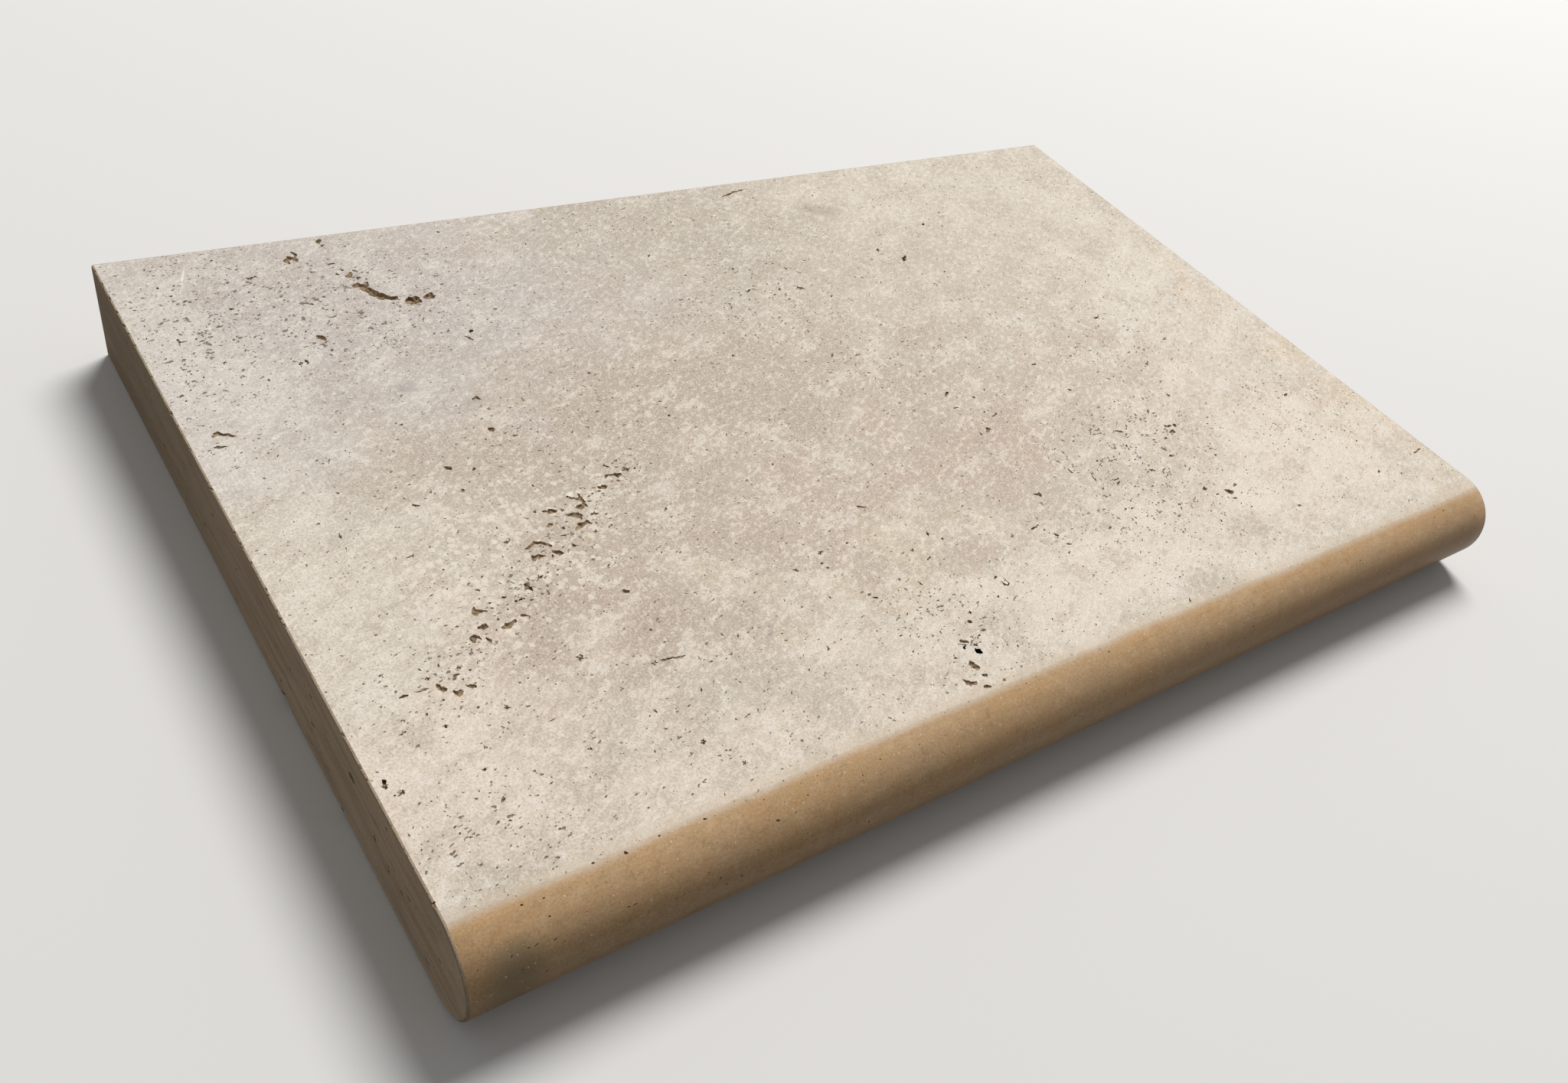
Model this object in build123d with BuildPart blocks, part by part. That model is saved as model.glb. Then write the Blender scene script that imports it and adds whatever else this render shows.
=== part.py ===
"""Travertine pool coping with a full bullnose: one slab of stone, sawn, ground and left unfilled.

The slab lies as it is laid round a pool, bedding face down and paving face up.
X runs along the bullnose, -Y points out over the water and +Z is up.
The origin is the middle of the slab's footprint, on the bedding face.
All sizes are in millimetres and all angles in degrees.
"""

import os
from math import cos, radians, sin

from build123d import *

# The slab: the trade size of 24 x 16 x 2 inches, as sold in metric
slab_length = 610.0
slab_width = 406.0
slab_thickness = 50.0

# The sawn corners are rubbed down by hand to a small flat, the arris
arris = 1.0

# The solution channel: the crescent-shaped void near the left end and the back edge.
# The centre of its bend is this far from those two edges.
channel_from_left = 128.0
channel_from_back = 39.0
channel_bend_radius = 24.5
channel_start_angle = 196.0
channel_sweep_angle = 51.0
channel_width = 3.8
channel_depth = 3.5

# Two rounder voids carry on round the same bend
companion_count = 2
companion_bend_radius = 26.2
companion_start_angle = 266.0
companion_step_angle = 19.0
companion_length = 5.8
companion_width = 4.4
companion_depth = 3.0

# The porous vein: voids strung along a line that crosses the paving face at a slant.
# Its lower end is this far from the left end and from the front of the nose.
vein_from_left = 40.0
vein_from_front = 107.0
vein_angle = 35.0
vein_depth = 2.6

# Where the vein's largest voids lie, as distances along it and above it, and their lengths and widths
vein_voids = [
    (40.0, -3.0, 6.0, 2.0),
    (63.0, 1.0, 3.6, 3.2),
    (80.0, 6.0, 6.0, 2.4),
    (87.0, 0.5, 4.0, 3.2),
    (108.0, -2.0, 7.0, 2.2),
    (110.5, 5.5, 5.4, 4.4),
    (134.0, 4.0, 4.8, 2.2),
    (144.5, 2.0, 4.4, 3.0),
    (151.0, 1.0, 4.0, 2.6),
]

# The walls of a void lean in towards its floor
void_taper = 10.0

nose_radius = slab_thickness / 2
left_end = -slab_length / 2
nose_front = -slab_width / 2
nose_start = nose_front + nose_radius
back_edge = slab_width / 2

# The voids are drawn on the paving face, one plane round the channel's bend and one along the vein
channel_plane = Plane(
    origin=(left_end + channel_from_left, back_edge - channel_from_back, slab_thickness),
)
vein_plane = Plane(
    origin=(left_end + vein_from_left, nose_front + vein_from_front, slab_thickness),
    x_dir=(cos(radians(vein_angle)), sin(radians(vein_angle)), 0),
    z_dir=(0, 0, 1),
)

with BuildPart() as coping:
    # The section runs flat from the back edge and turns through a half circle round the nose
    with BuildSketch(Plane.YZ.offset(left_end)):
        with BuildLine():
            Polyline(
                (nose_start, 0),
                (back_edge, 0),
                (back_edge, slab_thickness),
                (nose_start, slab_thickness),
            )
            ThreePointArc(
                (nose_start, slab_thickness),
                (nose_front, slab_thickness / 2),
                (nose_start, 0),
            )
        make_face()
    extrude(amount=slab_length)

    # The arris goes round both sawn ends, nose included, and along the back
    end_edges = coping.faces().filter_by(Axis.X).edges()
    back_edges = coping.faces().sort_by(Axis.Y)[-1].edges().filter_by(Axis.X)
    chamfer(end_edges + back_edges, arris)

    # The solution channel
    with BuildSketch(channel_plane):
        with BuildLine(mode=Mode.PRIVATE) as channel_line:
            CenterArc((0, 0), channel_bend_radius, channel_start_angle, channel_sweep_angle)
        SlotArc(channel_line.edge(), channel_width)
    extrude(amount=-channel_depth, taper=void_taper, mode=Mode.SUBTRACT)

    # Its companions, each turned to follow the bend
    with BuildSketch(channel_plane):
        with PolarLocations(
            companion_bend_radius,
            companion_count,
            start_angle=companion_start_angle,
            angular_range=companion_step_angle * (companion_count - 1),
            endpoint=True,
        ):
            SlotOverall(companion_length, companion_width, rotation=90)
    extrude(amount=-companion_depth, taper=void_taper, mode=Mode.SUBTRACT)

    # The voids of the vein, each drawn out along it
    with BuildSketch(vein_plane):
        for along, above, length, width in vein_voids:
            with Locations((along, above)):
                SlotOverall(length, width)
    extrude(amount=-vein_depth, taper=void_taper, mode=Mode.SUBTRACT)

coping.part.label = "travertine_coping"
os.makedirs("parts", exist_ok=True)
export_step(coping.part, "parts/travertine_coping.step")
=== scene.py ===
# %% [markdown]
# # A travertine pool coping
#
# The object is one slab of travertine, a limestone laid down by hot springs. It was sawn to size,
# honed flat on top, ground to a half round along the edge that meets the water, and polished there.
# Nobody filled its voids, so the stone's own holes stay open.
#
# The lesson starts by loading the measured model. Everything made here shares its frame: metres,
# with X along the rounded edge, -Y out over the water and Z up.

# %% Load the measured slab
from math import copysign, cos, pi, radians, sin
from random import Random

import bmesh
import bpy
from mathutils import Euler, Matrix, Vector, noise


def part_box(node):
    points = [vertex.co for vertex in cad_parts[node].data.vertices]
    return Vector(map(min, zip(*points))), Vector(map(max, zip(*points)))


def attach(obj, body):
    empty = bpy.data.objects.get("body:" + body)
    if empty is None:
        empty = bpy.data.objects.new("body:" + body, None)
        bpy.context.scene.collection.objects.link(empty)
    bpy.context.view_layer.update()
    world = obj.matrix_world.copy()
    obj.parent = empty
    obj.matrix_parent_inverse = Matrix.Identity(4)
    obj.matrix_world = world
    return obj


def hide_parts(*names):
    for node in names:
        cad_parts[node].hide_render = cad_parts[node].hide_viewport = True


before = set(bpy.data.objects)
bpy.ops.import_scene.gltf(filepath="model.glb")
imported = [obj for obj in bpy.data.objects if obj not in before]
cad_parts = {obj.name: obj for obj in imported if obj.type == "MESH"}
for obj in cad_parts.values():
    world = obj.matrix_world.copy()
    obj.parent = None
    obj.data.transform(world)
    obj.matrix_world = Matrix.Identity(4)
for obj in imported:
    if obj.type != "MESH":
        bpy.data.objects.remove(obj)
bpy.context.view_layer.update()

low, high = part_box("travertine_coping")
print("slab runs from", tuple(round(v, 4) for v in low), "to", tuple(round(v, 4) for v in high))

# %% [markdown]
# ## Millimetres and marks
#
# A mason measures from the edges: so far from the left end, so far from the front of the nose.
# Every place below is given that way in millimetres, and `on_top` turns it into the frame's metres.

# %% Sizes of the slab
MM = 0.001
length, width, thickness = high - low
nose_radius = thickness / 2
nose_axis = Vector((low.x, low.y + nose_radius, nose_radius))
UP = Vector((0, 0, 1))


def on_top(from_left, from_front, above=0.0):
    return Vector((low.x + from_left * MM, low.y + from_front * MM, high.z + above * MM))


print("length, width, thickness in mm:", [round(v / MM, 1) for v in (length, width, thickness)])

# %% [markdown]
# ## The slab
#
# The section could be drawn as a list of points, but the round nose is a turned shape, so one
# corner of the section is spun half a turn about the nose's axis. The outline is closed at the
# back, filled, and extruded along the length. The bevel then rubs down the sawn corners, which is
# what a mason does with a stone so that they don't chip. Last, the big flat faces are cut into
# tiles, because a face with a thousand holes in it is too much for any renderer to fill.

# %% Make the slab
NOSE_STEPS = 60
ARRIS = 1.0 * MM
TILE = 12 * MM
FINISHES = (
    "honed and polished travertine",
    "sawn travertine",
    "worn travertine edge",
    "travertine void lining",
)
HONED, SAWN, WORN, LINING = range(4)


def end_outline(bm):
    top_front = bm.verts.new((low.x, nose_axis.y, high.z))
    turned = bmesh.ops.spin(
        bm, geom=[top_front], cent=nose_axis, axis=(1, 0, 0), angle=pi, steps=NOSE_STEPS
    )
    bottom_front = next(item for item in turned["geom_last"] if isinstance(item, bmesh.types.BMVert))
    back_top = bm.verts.new((low.x, high.y, high.z))
    back_bottom = bm.verts.new((low.x, high.y, low.z))
    for pair in ((bottom_front, back_bottom), (back_bottom, back_top), (back_top, top_front)):
        bm.edges.new(pair)


def slab_mesh():
    bm = bmesh.new()
    end_outline(bm)
    end = bmesh.ops.contextual_create(bm, geom=bm.edges[:])["faces"]
    pulled = bmesh.ops.extrude_face_region(bm, geom=end, use_keep_orig=True)["geom"]
    moved = [item for item in pulled if isinstance(item, bmesh.types.BMVert)]
    bmesh.ops.translate(bm, verts=moved, vec=(length, 0, 0))
    bmesh.ops.recalc_face_normals(bm, faces=bm.faces[:])
    for face in bm.faces:
        ends_or_back = abs(face.normal.x) > 0.5 or face.normal.y > 0.5
        face.material_index = SAWN if ends_or_back or face.normal.z < -0.999 else HONED
    sawn_corners = [edge for edge in bm.edges if edge.calc_face_angle(0) > radians(60)]
    rubbed = bmesh.ops.bevel(
        bm, geom=sawn_corners, offset=ARRIS, segments=2, profile=0.5, affect="EDGES", material=-1
    )
    for face in rubbed["faces"]:
        face.material_index = WORN
    cut_across(bm, Vector((1, 0, 0)), low.x, high.x)
    cut_across(bm, Vector((0, 1, 0)), nose_axis.y, high.y)
    return bm


def cut_across(bm, normal, start, stop):
    cuts = round((stop - start) / TILE)
    for cut in range(1, cuts):
        at = start + (stop - start) * cut / cuts
        bmesh.ops.bisect_plane(
            bm, geom=bm.verts[:] + bm.edges[:] + bm.faces[:], plane_co=normal * at, plane_no=normal
        )


slab_bm = slab_mesh()
print("slab before its voids:", len(slab_bm.faces), "faces, volume in litres",
      round(slab_bm.calc_volume() * 1000, 3))

# %% [markdown]
# ## The voids
#
# Gas and plant stems left holes in the stone as it formed, and the saw and the honing wheel cut
# through them. A hole in a picture could be dark paint, but here each one is cut from the mesh, so
# that its far wall catches the light and its near wall falls dark. A void is a ball squared off
# towards a trench, pushed about by noise, and later taken away from the slab.

# %% One void
SEED = 24
rng = Random(SEED)
noise.seed_set(SEED)


def facing(place, normal, turn):
    up = normal.normalized()
    side = Vector((1, 0, 0)) if abs(up.x) < 0.9 else Vector((0, 1, 0))
    along = (side - up * side.dot(up)).normalized()
    turned = Matrix.Rotation(turn, 3, up) @ along
    across = up.cross(turned)
    axes = Matrix((turned, across, up)).transposed().to_4x4()
    return Matrix.Translation(place) @ axes


def add_void(bm, place, normal, size, turn=0.0, rough=0.25, subdivisions=2, squareness=1.0):
    half = Vector(size) / 2
    ball = bmesh.ops.create_icosphere(bm, subdivisions=subdivisions, radius=1)["verts"]
    offset = Vector((rng.uniform(-50, 50) for _ in range(3)))
    for vert in ball:
        unit = vert.co.normalized()
        swell = 1 + rough * 1.6 * noise.noise(unit * 1.7 + offset)
        height = copysign(abs(unit.z) ** squareness, unit.z)
        vert.co = Vector((unit.x * swell * half.x, unit.y * swell * half.y, height * swell * half.z))
    bmesh.ops.transform(bm, matrix=facing(place, normal, turn), verts=ball)


def add_nick(bm, place, size, turn):
    half = Vector(size) / 2
    nick = bmesh.ops.create_cone(
        bm, cap_ends=True, segments=5, radius1=0, radius2=1.5, depth=2.4
    )["verts"]
    for vert in nick:
        jolt = Vector((rng.uniform(-1, 1), rng.uniform(-1, 1), rng.uniform(-0.4, 0.4))) * 0.42
        vert.co = Vector((v * h for v, h in zip(vert.co + jolt, half)))
    sunk = Matrix.Translation(place) @ Matrix.Rotation(turn, 4, "Z")
    bmesh.ops.transform(bm, matrix=sunk, verts=nick)


def set_out(name, data):
    made = bpy.data.objects.new(name, data)
    bpy.context.scene.collection.objects.link(made)
    return made


def to_mesh(bm, name):
    mesh = bpy.data.meshes.new(name)
    bm.to_mesh(mesh)
    bm.free()
    return mesh


def to_object(bm, name):
    return set_out(name, to_mesh(bm, name))


def add_batch(whole, maker, *details):
    batch = bmesh.new()
    maker(batch, *details)
    bmesh.ops.recalc_face_normals(batch, faces=batch.faces[:])
    mesh = to_mesh(batch, "batch")
    whole.from_mesh(mesh)
    bpy.data.meshes.remove(mesh)


# %% [markdown]
# ## Voids that the eye finds first
#
# The long channel near the back, the vein that crosses the left of the slab and the cluster behind
# the nose are what a buyer would know this slab by. Each is drawn as strokes, a width and a path in
# millimetres from the left end and the nose, the way that they were measured on the stone.

# %% Draw the strokes
CHANNEL_STROKES = [
    (5, [(105.4, 360), (108.4, 356.9), (110.2, 351.5), (113.4, 347.2), (118.4, 345.2)]),
    (6, [(124.2, 341), (127.8, 340.2)]), (3.6, [(133.4, 342.2), (136.8, 341.8)]),
    (2.2, [(82.5, 385.6), (82.3, 388.5), (84.6, 389.2), (86.7, 388.5), (87, 386)]),
    (1.5, [(86.8, 394.8), (88.1, 392.7), (87.4, 389.9)]), (2.1, [(103.2, 401.8), (102.1, 399.3)]),
    (1.6, [(103.9, 368.6), (105.9, 367.4), (107.2, 370.6)]), (1.4, [(99.6, 380), (103, 380.6)]),
    (2.4, [(74.2, 325), (76.6, 322.6)]), (0.9, [(137.7, 306.4), (139.8, 303.2)]),
]
VEIN_STROKES = [
    (1.1, [(129.6, 186.4), (132.6, 183.9), (135.7, 181.3)]),
    (1.3, [(135.2, 187), (134.4, 182.4), (134.7, 178)]), (3.3, [(131.2, 179), (132.7, 179.2)]),
    (1.9, [(124, 176.7), (126.5, 175.9), (129.4, 174.7), (129.4, 171.8)]),
    (1.7, [(123.7, 167), (126.8, 168.6), (130.1, 169.4), (131.6, 168.2)]),
    (1.3, [(99.5, 164), (102, 165), (104.6, 165.7), (107.1, 164.3), (109.7, 161.9)]),
    (1.8, [(99.5, 156.6), (99.8, 158.4), (102, 158.2), (104.4, 157.6)]),
    (3.2, [(110, 157.6), (110.6, 157)]), (1.2, [(113.3, 172.9), (116.3, 173.2)]),
    (2.4, [(115.8, 182.2), (118.4, 180.8), (120.9, 179.8)]), (1.4, [(81.4, 131.2), (83.4, 129.6)]),
    (1.9, [(71.9, 127.6), (74.5, 128), (77.6, 129.2)]),
    (1.6, [(66.6, 142), (65.4, 138.2), (67.9, 139.2), (70.2, 138)]),
    (1.9, [(63.3, 131.2), (65.8, 130.3), (66.8, 132)]),
    (1.5, [(58.5, 125.2), (58.9, 127), (60.4, 127.2), (61.7, 125.6)]),
    (1.1, [(64.2, 125.4), (64.6, 121.9)]), (1.1, [(43.9, 110.9), (45.9, 112.4), (47.2, 113)]),
    (1.8, [(37.8, 110.9), (39.3, 108.9), (39.9, 107.2)]), (1.9, [(42.3, 105.4), (44.6, 104.3)]),
    (1.6, [(47.8, 106.6), (50.2, 105)]), (2.1, [(145.6, 187.4), (148.9, 186.8)]),
    (2.5, [(155.7, 192.6), (158.4, 191.8)]), (1.2, [(151.2, 191.4), (152.4, 193.4), (154.4, 192.8)]),
    (2.1, [(161.2, 194.4), (163.8, 193.6)]),
]
FRONT_STROKES = [
    (1.8, [(242, 47.2), (245, 45.8)]), (2, [(245.6, 40.6), (246.4, 38.4)]),
    (2.8, [(238.6, 35.4), (239.2, 32.4)]), (1.6, [(229.3, 28.8), (230.2, 26.8), (233.6, 25.8)]),
    (1.7, [(238.8, 27.8), (240.4, 27.2)]), (1.7, [(235.6, 22.6), (237.8, 22)]),
    (2, [(253.4, 55.2), (254.6, 54.4)]), (1, [(255, 48.2), (257.4, 47.6)]),
    (0.9, [(250.6, 45.8), (253.4, 46.4)]), (0.9, [(260.2, 93), (262.6, 93.9)]),
    (0.8, [(284.6, 68.4), (284.4, 66.2), (286.2, 65.2), (287.8, 66.2)]),
]
RIGHT_STROKES = [
    (2.3, [(351.6, 157), (354, 158.2)]), (0.9, [(362.6, 166), (368, 167.2)]),
    (0.8, [(346.6, 178.9), (349.8, 178.3)]), (1.9, [(343.2, 109), (345.8, 108.4)]),
    (1, [(374.1, 117.6), (375, 114.9)]), (0.9, [(383, 109), (382.2, 105.2)]),
    (1.2, [(323, 89.8), (328.6, 91.2)]), (1.5, [(332, 83.2), (333.2, 81.4)]),
    (0.8, [(392.4, 101.6), (396.6, 102.2)]), (1, [(391.2, 98.4), (394.4, 100.2)]),
    (1.5, [(455.8, 125.6), (460, 125.2)]), (2.2, [(462.4, 124.2), (463.6, 125)]),
    (2, [(455.6, 120.2), (458.8, 121.6)]), (1.6, [(447.4, 117.4), (450, 118.4)]),
    (1, [(423.2, 133), (425.8, 131.6), (428.2, 130.8)]), (2.4, [(448.8, 72.8), (451.8, 71)]),
    (1.1, [(455.4, 73.6), (459, 75)]), (1.3, [(447.8, 67), (450.6, 66.6)]),
    (1.8, [(480.4, 48.8), (482.2, 48.2)]), (0.8, [(594.8, 53.2), (598.6, 53.6), (603, 54.6)]),
    (1.1, [(338.6, 392.8), (343.6, 394.2), (349.2, 396.2), (356.4, 397.4)]),
]
LEFT_STROKES = [
    (0.8, [(118.7, 88.9), (124, 88), (129.8, 86.9)]), (2.4, [(125.2, 127.2), (126, 125.8)]),
    (2.3, [(90.6, 221), (92.2, 220.2)]), (2.8, [(118.8, 237.6), (120.2, 238.2)]),
    (1.7, [(10.6, 270.4), (12.8, 272.2), (15.4, 270.4), (18.6, 268.4)]),
    (1.2, [(9.4, 264), (13.2, 262.6)]), (1.5, [(62.8, 309.6), (63.4, 307.2)]),
    (1.2, [(120.2, 260.4), (122.8, 261.8), (124.2, 259.6)]), (1, [(67.8, 203.8), (70.4, 203)]),
]
STROKES = CHANNEL_STROKES + VEIN_STROKES + FRONT_STROKES + RIGHT_STROKES + LEFT_STROKES
print(len(STROKES), "strokes drawn")

# %% [markdown]
# A stroke is cut as a row of overlapping balls. Chance turns and shrinks each one and adds spurs,
# so no stroke looks drawn. Some balls ride high on the side towards the camera, which breaks the
# rim there into a shelf. Every ball's place is held, so that nothing cut later touches it. Shapes
# are made in small batches, because operators slow down as a mesh grows.

# %% Cut the strokes
SHALLOWEST = 0.45
SPUR_CHANCE = 0.75
LIP_CHANCE = 0.5
TOWARDS_CAMERA = Vector((-0.4, -0.9, 0.0))
GRID = 6 * MM
KEPT_ROUND = 0.6
held = {}


def square_of(place):
    return tuple(round(v / GRID) for v in place)


def hold(place, radius):
    held.setdefault(square_of(place), []).append((place, radius))


def clear(place, radius):
    x, y, z = square_of(place)
    near = [(x + i, y + j, z + k) for i in (-1, 0, 1) for j in (-1, 0, 1) for k in (-1, 0, 1)]
    return all(
        (place - other).length > radius + reach
        for square in near for other, reach in held.get(square, [])
    )


def claim(place, radius):
    free = clear(place, radius)
    if free:
        hold(place, radius)
    return free


def cut_stroke(bm, breadth, path):
    points = [on_top(*point) for point in path]
    legs = list(zip(points, points[1:]))
    for leg, (start, stop) in enumerate(legs):
        steps = max(2, round((stop - start).length / (breadth * 0.38 * MM)))
        for step in range(steps + 1):
            run = (leg + step / steps) / len(legs)
            taper = 0.72 + 0.38 * sin(pi * run)
            across = breadth * taper * rng.uniform(0.7, 1.2) * MM
            deep = (SHALLOWEST + 0.27 * across / MM) * MM
            place = start.lerp(stop, step / steps)
            place += Vector((rng.uniform(-1, 1), rng.uniform(-1, 1), 0)) * across * 0.16
            turn = rng.uniform(0, pi)
            add_void(bm, place, UP, (across * 1.15, across * 0.85, deep * 2), turn, rough=0.6,
                     squareness=0.6)
            hold(place, across * 0.75)
            if rng.random() < SPUR_CHANCE:
                aside = Matrix.Rotation(rng.uniform(0, 2 * pi), 3, "Z") @ Vector((1, 0, 0))
                spur = Vector((across * 0.8, across * 0.35, deep * 1.2))
                add_void(bm, place + aside * across * 0.42, UP, spur, turn, rough=0.6)
            if rng.random() < LIP_CHANCE:
                lip = place + TOWARDS_CAMERA * across * 0.35 + UP * 0.06 * MM
                add_void(bm, lip, UP, (across * 1.1, across * 0.8, deep * 0.7), turn, rough=0.6)


stroke_bm = bmesh.new()
for breadth, path in STROKES:
    add_batch(stroke_bm, cut_stroke, breadth, path)
strokes = to_object(stroke_bm, "stroke_cutters")
print(len(STROKES), "strokes in", len(held), "squares")

# %% [markdown]
# The balls of one stroke overlap, and a cut needs one clean skin. The Remesh modifier in voxel
# mode walks over them all and pulls a single skin round each group. Its points are then nudged
# sideways by fine noise, because a real void's rim is crumbled, not smooth.

# %% One skin for each stroke
VOXEL = 0.42 * MM
CRUMBS = [(0.45 * MM, 0.9 * MM), (0.75 * MM, 2.4 * MM)]


def evaluated_mesh(made):
    bpy.context.view_layer.update()
    graph = bpy.context.evaluated_depsgraph_get()
    return bpy.data.meshes.new_from_object(made.evaluated_get(graph))


skin = strokes.modifiers.new("one skin", "REMESH")
skin.mode = "VOXEL"
skin.voxel_size = VOXEL
stroke_skin = evaluated_mesh(strokes)
bpy.data.objects.remove(strokes)

cutter_bm = bmesh.new()
cutter_bm.from_mesh(stroke_skin)
for vert in cutter_bm.verts:
    pushes = [noise.noise_vector(vert.co / size) * reach for reach, size in CRUMBS]
    vert.co += pushes[0] + Vector((pushes[1].x, pushes[1].y, 0))
print("stroke skin:", len(cutter_bm.faces), "faces")

# %% [markdown]
# ## Spots
#
# Next come the single holes that are large enough to be placed one by one. Each is one ball, and a
# line gives its place, its length, its breadth and its turn in degrees.

# %% Single voids placed one by one
CHANNEL_SPOTS = [
    (86.3, 381, 1.7, 1.4, 0), (103, 396.5, 2.2, 1.6, 10), (101, 381.8, 3.4, 1.1, 20),
    (104.2, 374, 3, 2.4, 80), (109.5, 372, 1.7, 1.4, 0), (112.3, 369.4, 1.6, 1.2, 30),
    (115, 368.6, 1.8, 1.2, 0), (109.1, 365.4, 2.4, 1.8, 70), (112.2, 363.2, 2, 1, 90),
    (88.1, 354.2, 1.9, 1.6, 0), (95.1, 358.4, 1.7, 1.3, 40), (80.8, 349.9, 1.7, 1.5, 0),
    (64.1, 352.5, 1.6, 1.4, 0), (64.6, 378.5, 1.5, 1.2, 0), (61.4, 377.2, 3.2, 1.8, 15),
    (144.9, 357.6, 2.8, 1.5, 10), (148.8, 377.1, 1.6, 1.2, 0), (162.8, 395.1, 1.8, 1.4, 20),
    (102.1, 315.5, 2, 1.2, 20), (81.8, 311.6, 2.8, 1.4, 80), (60, 307.4, 3, 1.6, 85),
    (124.6, 324.6, 2.4, 1.1, 80), (97.6, 349.4, 1.8, 1, 30), (121.4, 333, 2, 0.9, 15),
    (130.6, 330.2, 1.8, 0.9, 20), (93.4, 339.8, 1.6, 1, 0), (75.6, 366.2, 1.8, 1.1, 25),
    (70.2, 343.4, 1.6, 1.2, 0), (118.6, 382.2, 1.6, 0.9, 10), (126.2, 361.4, 1.8, 0.9, 0),
]
VEIN_SPOTS = [
    (124, 179.8, 1.6, 1.2, 0), (135.7, 173.2, 2.4, 1.8, 0), (120.9, 165.5, 1.8, 1.6, 20),
    (130.9, 162.8, 1.8, 1.6, 0), (123, 161.9, 2.4, 1.1, 100), (119.4, 169.6, 2, 1.6, 40),
    (110.7, 167.3, 1.3, 1.1, 0), (96.9, 147.1, 3.2, 1.8, 30), (94.1, 146.3, 1.2, 1, 0),
    (91.1, 143.6, 3.6, 3.2, 0), (85.2, 139, 2.6, 1.7, 20), (96.4, 138, 2.2, 1.3, 80),
    (93.7, 138.5, 1.6, 1, 90), (66.8, 141.5, 3, 2.4, 0), (48.5, 115.7, 2.6, 1.9, 10),
    (143.9, 185.1, 2.2, 1.3, 0), (137.8, 189.5, 1.6, 1.2, 0), (140.8, 184.6, 1.3, 1.1, 0),
    (157.4, 189, 2.6, 1.2, 120), (160.9, 200.6, 1.6, 1.2, 40), (145.2, 183.2, 1.2, 1, 0),
    (133.8, 167.4, 1.3, 1, 0), (126.8, 182.6, 1.3, 1, 0), (112.6, 150.4, 1.4, 1, 0),
    (75.4, 122.8, 1.4, 1.1, 0), (72, 132.4, 1.6, 1, 60), (55.4, 120.2, 1.4, 1.1, 0),
]
LEFT_SPOTS = [
    (91.8, 102.2, 2.6, 2.2, 60), (116.3, 88.4, 2.6, 1.6, 20), (127, 231.3, 2, 1.6, 0),
    (90.8, 205.3, 2.2, 1.8, 0), (35.2, 196.6, 2.6, 1.7, 80), (30.4, 206.5, 1.6, 1.3, 0),
    (43.9, 221, 1.8, 1.3, 0), (56.1, 176.5, 2.4, 1.2, 15), (18.4, 95.3, 2.2, 1, 20),
    (33.2, 92.3, 2, 1.3, 0), (124, 104.3, 1.6, 1.4, 0), (56.1, 91.5, 2.2, 1.8, 0),
    (113.7, 47.1, 2.7, 2.2, 20), (122.8, 32.4, 1.8, 1.3, 0), (74.4, 61.8, 1.7, 1.2, 30),
    (68.4, 79.4, 2.4, 1, 15), (4.6, 77, 3.8, 2.6, 60), (8.6, 72, 2.6, 1.8, 30), (37.3, 69.3, 1.8, 1.4, 0),
    (180.9, 262.3, 2.2, 1.6, 0), (84.4, 254, 1.6, 1.2, 0),
]
FRONT_SPOTS = [
    (241.4, 43.3, 2.6, 1.2, 30), (247.7, 42.6, 2.2, 1.5, 0), (257.5, 58.8, 1.8, 1.5, 0),
    (246.3, 21.9, 2.2, 1.3, 0), (283.9, 71.4, 1.8, 1.5, 0), (247.4, 82.8, 2.6, 1, 95),
    (271.6, 107, 2.2, 1.5, 70), (276.1, 101.2, 2, 1.3, 0), (257.5, 100.5, 2, 1.2, 20),
    (238.2, 70, 1.8, 1.1, 0), (221, 85.3, 1.8, 1.5, 0), (203.9, 91, 2.4, 1.2, 100),
    (232.6, 54.6, 1.4, 1.1, 0), (199.3, 110.4, 3.2, 1.5, -25), (212.7, 109.5, 1.6, 1.3, 0),
    (213.6, 106, 1.6, 1.3, 0), (216, 115.2, 2.7, 2.1, 60), (258, 253.2, 2, 1.4, 0),
]
RIGHT_SPOTS = [
    (347, 156.4, 1.6, 1.3, 0), (382, 82.9, 3.2, 1.2, 20), (382.5, 76, 2.2, 1.1, 90),
    (439.4, 123.3, 2.2, 1.6, 0), (409, 129.5, 3.6, 1, 25), (419.9, 100.7, 2.6, 2, 0),
    (425.6, 94.4, 3.2, 1.2, 25), (413.6, 74.9, 2.4, 1.6, 0), (419.7, 195.2, 2, 1.6, 0),
    (423.9, 169.9, 2, 1.6, 0), (363.9, 182.8, 2, 1.6, 0), (480.7, 146, 2.2, 1.8, 0),
    (491, 173.6, 4, 1.5, 30), (485.9, 157.5, 2.8, 1.2, 25), (401.1, 317.6, 2.6, 2, 0),
    (411.8, 306, 4.6, 3.6, 30), (330.3, 296.2, 3.6, 3.2, 0),
]
SPOTS = CHANNEL_SPOTS + VEIN_SPOTS + LEFT_SPOTS + FRONT_SPOTS + RIGHT_SPOTS


def cut_spots(bm):
    for x, y, along, across, turn in SPOTS:
        place = on_top(x, y, above=0.1)
        if clear(place, along * 0.52 * MM):
            hold(place, along * KEPT_ROUND * MM)
            size = (along * 1.1 * MM, across * 1.1 * MM, across * rng.uniform(0.9, 1.3) * MM)
            add_void(bm, place, UP, size, radians(turn), rough=0.9, subdivisions=3)


add_batch(cutter_bm, cut_spots)
print(len(SPOTS), "spots,", len(cutter_bm.faces), "cutter faces")

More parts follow.
